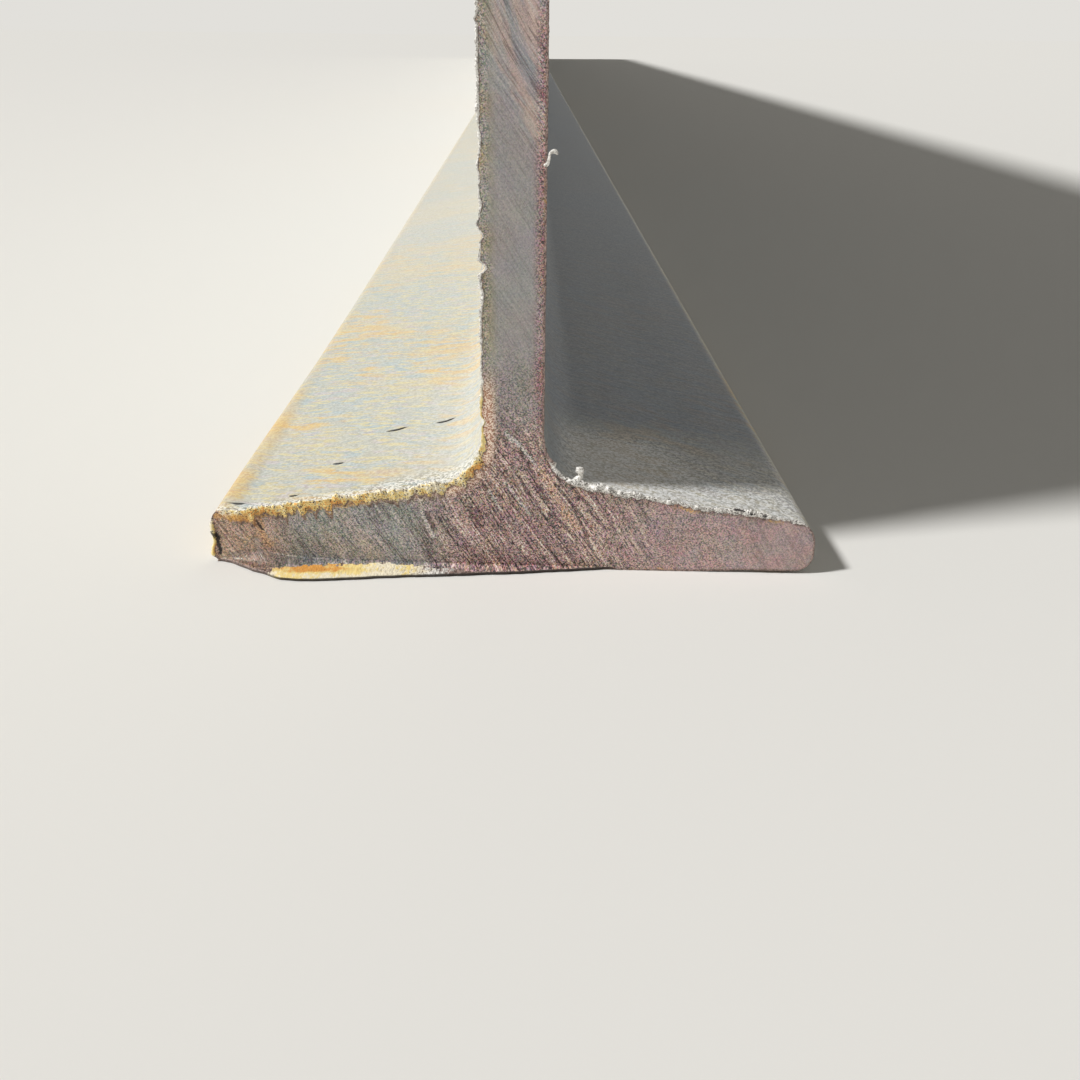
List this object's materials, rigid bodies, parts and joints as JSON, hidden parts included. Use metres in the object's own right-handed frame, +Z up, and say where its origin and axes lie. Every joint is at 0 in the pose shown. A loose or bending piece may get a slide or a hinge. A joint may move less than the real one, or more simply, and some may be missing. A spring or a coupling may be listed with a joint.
{
  "type": "steel i-beam",
  "caption": "Rolled steel I-beam bar with tapered flanges, sawn ends and light rust, for framing and lifting structures.",
  "frame": {"origin": "middle of the bottom flange's underside, halfway along the bar", "axes": "+X across the flanges, +Y along the bar from the near sawn end to the far one, +Z up the web"},
  "size_m": [0.162, 6, 0.5],
  "materials": {
    "rolled_steel": "mill scale with light rust, sawn ends"
  },
  "bodies": {
    "root": {"i_beam": "rolled_steel"}
  },
  "joints": []
}
